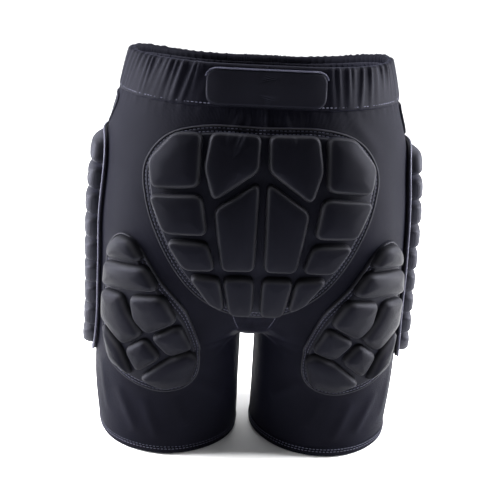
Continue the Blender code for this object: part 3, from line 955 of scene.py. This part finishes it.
def gusset_points(table, shares, lift):
    """Points across the gusset: on the body at its two ends, and bridging the legs between them."""
    along = np.gradient(table[:, :2], axis=0)
    along /= np.linalg.norm(along, axis=1)[:, None]
    out = np.column_stack([np.zeros(len(along)), along[:, 1], -along[:, 0]])
    middle = np.column_stack([np.zeros(len(table)), table[:, 0], table[:, 1]])
    bridge = middle[:, None] + out[:, None] * lift[..., None]
    bridge[..., 0] = shares * table[:, 2:]
    x, z = bridge[..., 0], np.broadcast_to(table[:, 1:2], lift.shape)
    for face in (-1, 1):
        laid, _ = on_face(face)(x, z, KNIT + lift)
        weight = smooth((z - GUSSET_BRIDGE) / GUSSET_EASE) * (np.sign(table[:, :1]) == face)
        bridge += (laid - bridge) * weight[..., None]
    return bridge, out


def make_gusset():
    """The piece of knit that joins the legs, with a turned edge and stitches along it."""
    table = gusset_line()
    shares = np.linspace(-1.12, 1.12, 27)[None]
    puff = 0.0009 * (1 - shares**2) - 0.0016 * smooth((np.abs(shares) - 0.9) / 0.22)
    ends = 0.0010 * smooth((np.abs(table[:, :1]) - 0.090) / 0.02)
    points, out = gusset_points(table, shares, 0.0008 + puff - ends)
    uv = places(points[..., 0], np.linspace(0, 0.27, len(table))[:, None])
    made = grid("gusset", points, uv, KNIT_CLOTH)
    thicken(made, KNIT_SHOWN)
    fasten(made, "stretch_knit", 0, "crotch_gusset")
    rows = []
    for share in (-0.84, 0.84):
        line, _ = gusset_points(table, np.array([[share]]), np.full((len(table), 1), 0.0012))
        rows.append((line[4:-4, 0], out[4:-4]))
    sewn = stitches("gusset_stitches", rows)
    fasten(sewn, "stretch_knit", 0)


def make_side_patches():
    for label, side in SIDES:
        outline = resampled(rounded(on_round(SIDE_PATCH_EDGE), 0.010), 0.0028, 6)

        def profile(away):
            rolled = 0.0007 * np.exp(-(((away - 0.0012) / 0.0010) ** 2))
            return FACE + 0.0010 * smooth(away / 0.0009) + rolled - 0.0004 * smooth(away / 0.010)

        depths = (0.0004, 0.0008, 0.0014, 0.0020, 0.0028, 0.0040, 0.006, 0.009, 0.013, 0.018)
        skin = puffed(outline, on_thigh(side), FACE - 0.0012, profile, depths)
        made = skin.made("hip_patch_" + label, KNIT_CLOTH)
        fasten(made, "stretch_knit", side, "side_patch_" + label)
        inner = outline + inwards(outline) * 0.0032
        keep = opened(inner[inner[:, 1] < PATCH_SEWN_TOP])
        row = lifted(side, keep[:, 0] / TURN_RADIUS, keep[:, 1], FACE + 0.0012)
        sewn = stitches("hip_patch_stitches_" + label, [row])
        fasten(sewn, "stretch_knit", side)


# ---- pads -------------------------------------------------------------------------------------------

FLANGE = 0.0108  # width of the sewn edge round a pad's cells
FLANGE_STEP = 0.0005  # between its rings of points
FLANGE_SEWN = (0.0034, 0.0068)  # distance of each row of stitches from the edge
GROOVE_DEPTH = 0.0009
GROOVE_WIDTH = 0.0006


def backing_profile(away):
    """Rolled edge, a flange with two sewn grooves, then the raised base under the cells."""
    edge = BACKING * smooth((away + 0.0002) / 0.0010)
    roll = 0.0008 * np.exp(-(((away - 0.0014) / 0.0009) ** 2))
    grooves = sum(GROOVE_DEPTH * gaussian_band(away, sewn, GROOVE_WIDTH) for sewn in FLANGE_SEWN)
    base = 0.0024 * smooth((away - 0.0078) / 0.0022)
    return FACE + edge + roll - grooves + base


def backing(name, outline, place):
    """A pad's stitched backing, with rings that keep their distance from the edge over the flange."""
    inward = inwards(outline)
    for _ in range(4):
        inward = 0.5 * inward + 0.25 * (np.roll(inward, 1, 0) + np.roll(inward, -1, 0))
    middle = middle_of(outline)
    inner = outline + inward * FLANGE
    flats = [(middle + (outline - middle) * share, FACE - 0.0006, 0.0) for share in (0.5, 1.0)]
    for away in np.arange(0, FLANGE, FLANGE_STEP):
        # Paler flange edge and base shoulder: partly wear, partly painted highlight.
        rubbed_and_highlit = gaussian_band(away, 0.0014, 0.0012) + 0.6 * gaussian_band(away, 0.0095, 0.0012)
        flats.append((outline + inward * away, backing_profile(away), rubbed_and_highlit))
    for share in np.linspace(1, 0, 16)[:-1]:
        flats.append((middle + (inner - middle) * share, backing_profile(FLANGE), 0.0))
    rings = [place(flat[:, 0], flat[:, 1], lift)[0] for flat, lift, _ in flats]
    wear_and_highlight = [np.full(len(flat), rubbed_and_highlit) for flat, _, rubbed_and_highlit in flats]
    return Skin(rings, [flat for flat, _, _ in flats], wear_and_highlight).made(name, BACKING_CLOTH)


def sewn_round(name, outline, place):
    """Two rows of stitches in a backing's grooves."""
    inward = inwards(outline)
    rows = []
    for away in FLANGE_SEWN:
        flat = outline + inward * away
        flat = np.vstack([flat, flat[:1]])
        lift = np.full(len(flat), backing_profile(away) + 0.0003)
        rows.append(place(flat[:, 0], flat[:, 1], lift))
    return stitches(name, rows)


def cell_profile(foam, roll, power, crown):
    """Height of a foam cell over its own foot: an upright wall, a rolled edge and a crowned face."""

    def profile(away):
        edge = np.clip(away / roll, 0, 1)
        wall = (1 - (1 - edge) ** power) ** (1 / power)
        return ON_BACKING + 0.0012 + (foam - 0.0012) * wall + crown * smooth(away / 0.016)

    return profile


SEAT_PROFILE = cell_profile(0.0102, 0.0036, 2.2, 0.0014)
THIGH_PROFILE = cell_profile(0.0098, 0.0080, 2.3, 0.0024)
HIP_PROFILE = cell_profile(0.0120, 0.0065, 2.3, 0.0014)
SIM_FRAMES = 20
CELL_PRESSURE = 4.0
CELL_SWELL = 0.0022  # the furthest that air may move a point of a cell
SEAT_SPREAD = 0.0016  # the covers reach this far past the foam
THIGH_SPREAD = 0.0017
RIB_GAP = 0.05  # share of a rib's height that its groove takes at each side
CELL_DEPTHS = (0.0001, 0.0003, 0.0007, 0.0012, 0.0018, 0.0026, 0.0036, 0.0050, 0.0068, 0.0090, 0.0120, 0.0155)
FEET = ON_BACKING - 0.0012  # the cells stand this high over the knit's inner face
HELD_RINGS = 4  # the underside, the foot and the first ring of the wall


def make_cell(corners, place, profile, reach, spread=0.0):
    outline = resampled(rounded(corners, reach), 0.0028, 1)
    outline = outline - inwards(outline) * spread
    return puffed(outline, place, FEET, profile, CELL_DEPTHS)


def turned_out(points, faces):
    """The faces of a closed skin, all turned outwards."""
    centred = points - points.mean(0)
    corners = np.array([face[:3] for face in faces])
    a, b, c = (centred[corners[:, k]] for k in range(3))
    return faces if (a * np.cross(b, c)).sum() > 0 else [face[::-1] for face in faces]


def air_mesh(skins):
    """All the skins as one cloth, with the points that stay put."""
    points, faces, held = [], [], []
    start = 0
    for skin in skins:
        points.append(skin.points())
        faces += [tuple(start + v for v in face) for face in turned_out(points[-1], skin.faces())]
        held += list(range(start, start + 1 + HELD_RINGS * skin.rings.shape[1]))
        start += len(points[-1])
    return np.vstack(points), faces, held


def puff_up(skins):
    """Fills closed pads with air as cloth, with their feet held, and keeps each point near its place."""
    rest, faces, held = air_mesh(skins)
    mesh = bpy.data.meshes.new("air")
    mesh.from_pydata([tuple(p) for p in rest], [], faces)
    air = bpy.data.objects.new("air", mesh)
    scene = bpy.context.scene
    scene.collection.objects.link(air)
    air.vertex_groups.new(name="held").add(held, 1.0, "REPLACE")
    sim = air.modifiers.new("cloth", "CLOTH")
    sim.settings.use_pressure = True
    sim.settings.uniform_pressure_force = CELL_PRESSURE
    sim.settings.vertex_group_mass = "held"
    sim.settings.effector_weights.gravity = 0
    sim.settings.quality = 5
    sim.settings.mass = 0.2
    sim.collision_settings.use_collision = False
    sim.point_cache.frame_start = 1
    sim.point_cache.frame_end = SIM_FRAMES
    for step in range(1, SIM_FRAMES + 1):
        scene.frame_set(step)
    shown = air.evaluated_get(bpy.context.evaluated_depsgraph_get()).to_mesh()
    flat = np.empty(len(shown.vertices) * 3)
    shown.vertices.foreach_get("co", flat)
    moved = flat.reshape(-1, 3) - rest
    far = np.linalg.norm(moved, axis=1)[:, None]
    moved *= np.minimum(1, CELL_SWELL / np.maximum(far, 1e-9))
    scene.frame_set(1)
    bpy.data.objects.remove(air)
    start = 0
    for skin in skins:
        count = skin.rings.shape[0] * skin.rings.shape[1]
        skin.rings += moved[start + 1 : start + 1 + count].reshape(skin.rings.shape)
        start += count + 2


def make_seat_pad():
    outline = resampled(rounded(mirrored(SEAT_PAD_EDGE), 0.020), 0.0030, 5)
    base = backing("seat_pad", outline, on_seat)
    fasten(base, "pad_backing", 0, "seat_pad_backing")
    sewn = sewn_round("seat_pad_stitches", outline, on_seat)
    fasten(sewn, "pad_backing", 0)
    cells = []
    for label, side in SIDES:
        for name, corners in SEAT_CELLS:
            flipped = [(side * x, z) for x, z in corners]
            skin = make_cell(flipped, on_seat, SEAT_PROFILE, 0.0065, SEAT_SPREAD)
            names = ("seat_foam_%s_%s" % (name, label), "seat_cell_%s_%s" % (name, label))
            cells.append((skin, PAD_CLOTH, *names, 0))
    return cells


def make_thigh_pads():
    cells = []
    for label, side in SIDES:
        place = on_thigh(side)
        outline = resampled(rounded(on_round(THIGH_PAD_EDGE), 0.014), 0.0030, 8)
        base = backing("thigh_pad_" + label, outline, place)
        fasten(base, "pad_backing", side, "thigh_pad_backing_" + label)
        sewn = sewn_round("thigh_pad_stitches_" + label, outline, place)
        fasten(sewn, "pad_backing", side)
        for name, corners in THIGH_CELLS:
            skin = make_cell(on_round(corners), place, THIGH_PROFILE, 0.0065, THIGH_SPREAD)
            names = ("thigh_foam_%s_%s" % (name, label), "thigh_cell_%s_%s" % (name, label))
            cells.append((skin, PAD_CLOTH, *names, side))
    return cells


def hip_narrowed(length, share):
    """The hip pad draws in towards its two ends."""
    middle = math.radians(HIP_PAD_BACK + HIP_PAD_FRONT) / 2 * TURN_RADIUS
    end = np.maximum(0, 1 - np.minimum(share, 1 - share) / HIP_CORNER)
    return middle + (length - middle) * (1 - HIP_NARROWING * end * end)


def hip_outline(margin, first, last, steps):
    """Closed outline of the hip pad between two shares of its height."""
    back = math.radians(HIP_PAD_BACK) * TURN_RADIUS + margin
    front = math.radians(HIP_PAD_FRONT) * TURN_RADIUS - margin
    top, bottom = HIP_PAD_TOP - margin, HIP_PAD_BOTTOM + margin
    shares = np.linspace(first, last, steps)
    heights = top + (bottom - top) * shares
    right = np.column_stack([hip_narrowed(front, shares), heights])
    left = np.column_stack([hip_narrowed(back, shares[::-1]), heights[::-1]])
    return np.vstack([right, left])


def hip_backing_profile(away):
    """A flange that stands off the knit at its corded edge and lies down towards the foam."""
    stand = 0.0022 * (1 - smooth(away / 0.0070))
    return FACE + BACKING * smooth((away + 0.0004) / 0.0008) + stand


def make_hip_pads():
    cells = []
    for label, side in SIDES:
        place = on_thigh(side)
        outline = resampled(rounded(hip_outline(0.0, 0, 1, 12), 0.016), 0.0030, 10)
        depths = (0.0005, 0.0010, 0.0020, 0.0032, 0.0045, 0.0060, 0.0075, 0.010, 0.015, 0.020, 0.026)
        skin = puffed(outline, place, FACE - 0.0004, hip_backing_profile, depths)
        base = skin.made("hip_pad_" + label, BACKING_CLOTH)
        fasten(base, "pad_backing", side, "hip_pad_backing_" + label)
        line, _ = place(outline[:, 0], outline[:, 1], np.full(len(outline), FACE + 0.0042))
        cord = tube("hip_piping_" + label, line, 0.0013, BINDING, closed=True)
        fasten(cord, "pad_backing", side)
        inner = outline + inwards(outline) * 0.0046
        inner = np.vstack([inner, inner[:1]])
        row = place(inner[:, 0], inner[:, 1], np.full(len(inner), FACE + BACKING + 0.0012))
        sewn = stitches("hip_pad_stitches_" + label, [row])
        fasten(sewn, "pad_backing", side)
        for rib in range(HIP_RIBS):
            first = (rib + RIB_GAP) / HIP_RIBS
            last = (rib + 1 - RIB_GAP) / HIP_RIBS
            corners = hip_outline(HIP_FOAM_MARGIN, first, last, 3)
            skin = make_cell(corners, place, HIP_PROFILE, 0.008)
            names = ("hip_foam_%d_%s" % (rib + 1, label), "hip_pad_foam_" + label)
            cells.append((skin, HIP_CLOTH, *names, side))
    return cells


def finish_cells(cells):
    """Fills the cells with air, then makes them and fixes them to their bodies."""
    puff_up([cell[0] for cell in cells])
    for skin, finish, name, node, side in cells:
        made = skin.refined().made(name, finish)
        fasten(made, "foam_cells", side, node)


# ---- studio -----------------------------------------------------------------------------------------

FLOOR_REACH = 40.0
# The light of the surroundings grows with the y of the direction it comes from.
WORLD_LIGHT = {"From_Min": -0.6, "From_Max": 0.9, "To_Min": 0.30, "To_Max": 0.75}
LAMP_PLACE = (1.35, 0.10, 0.30)
LAMP_SIZE = (0.7, 1.2)
LAMP_POWER = (150.0, 130.0)  # left and right
LIT_PLACE = (0, 0, -0.22)
CEILING_POWER = 3.2
CEILING_SPREAD = 50
CAMERA_PLACE = (-0.0705, -1.0393, 0.1472)
CAMERA_YAW, CAMERA_PITCH, CAMERA_ROLL = 3.8, 20.27, 3.2  # degrees
CAMERA_LENS = 66.0


def stage_material():
    made = bpy.data.materials.new("pale_floor")
    made.use_nodes = True
    surface = made.node_tree.nodes["Principled BSDF"]
    surface.inputs["Base Color"].default_value = (0.90, 0.90, 0.905, 1)
    surface.inputs["Roughness"].default_value = 0.85
    surface.inputs["Specular IOR Level"].default_value = 0.2
    return made


def make_studio():
    mesh = bpy.data.meshes.new("floor")
    ways = ((-1, -1), (1, -1), (1, 1), (-1, 1))
    corners = [(x * FLOOR_REACH, y * FLOOR_REACH, HEM - 0.001) for x, y in ways]
    mesh.from_pydata(corners, [], [(0, 1, 2, 3)])
    mesh.materials.append(stage_material())
    floor = bpy.data.objects.new("floor", mesh)
    bpy.context.scene.collection.objects.link(floor)
    world = bpy.data.worlds.new("studio")
    bpy.context.scene.world = world
    world.use_nodes = True
    tree = world.node_tree
    place = add_node(tree, "TexCoord").outputs["Generated"]
    depth = add_node(tree, "SeparateXYZ", Vector=place).outputs["Y"]
    eased = {"interpolation_type": "SMOOTHSTEP"}
    strength = add_node(tree, "MapRange", eased, Value=depth, **WORLD_LIGHT)
    tree.nodes["Background"].inputs["Color"].default_value = (0.97, 0.98, 1.0, 1)
    tree.links.new(strength.outputs[0], tree.nodes["Background"].inputs["Strength"])
    for name, across in (("left_soft_box", -LAMP_PLACE[0]), ("right_soft_box", LAMP_PLACE[0])):
        place = Vector((across, *LAMP_PLACE[1:]))
        light = bpy.data.lights.new(name, "AREA")
        light.shape = "RECTANGLE"
        light.size, light.size_y = LAMP_SIZE
        light.energy = LAMP_POWER[across > 0]
        lamp = bpy.data.objects.new(name, light)
        lamp.location = place
        lamp.rotation_euler = (Vector(LIT_PLACE) - place).to_track_quat("-Z", "Y").to_euler()
        bpy.context.scene.collection.objects.link(lamp)


def make_sun():
    """A broad soft light from above and behind, which whitens the floor as far as it is seen."""
    light = bpy.data.lights.new("ceiling_light", "SUN")
    light.energy = CEILING_POWER
    light.angle = math.radians(CEILING_SPREAD)
    lamp = bpy.data.objects.new("ceiling_light", light)
    lamp.rotation_euler = Vector((0.0, -0.55, -1.0)).to_track_quat("-Z", "Y").to_euler()
    bpy.context.scene.collection.objects.link(lamp)


def make_camera():
    yaw, pitch, roll = (math.radians(turn) for turn in (CAMERA_YAW, CAMERA_PITCH, CAMERA_ROLL))
    forward = Vector((math.sin(yaw) * math.cos(pitch), math.cos(yaw) * math.cos(pitch), -math.sin(pitch)))
    level = Vector((math.cos(yaw), -math.sin(yaw), 0.0))
    above = level.cross(forward)
    right = level * math.cos(roll) + above * math.sin(roll)
    up = above * math.cos(roll) - level * math.sin(roll)
    lens = bpy.data.cameras.new("camera")
    lens.lens = CAMERA_LENS
    lens.clip_end = 120.0
    camera = bpy.data.objects.new("camera", lens)
    turn = Matrix((right, up, -forward)).transposed()
    camera.matrix_world = Matrix.Translation(CAMERA_PLACE) @ turn.to_4x4()
    bpy.context.scene.collection.objects.link(camera)
    bpy.context.scene.camera = camera
    bpy.context.scene.view_settings.view_transform = "Standard"


make_camera()
make_studio()
make_sun()
make_knit()
make_hems()
make_waistband()
make_waist_inside()
make_back_panel()
make_seams()
make_gusset()
make_side_patches()
finish_cells(make_seat_pad() + make_thigh_pads() + make_hip_pads())
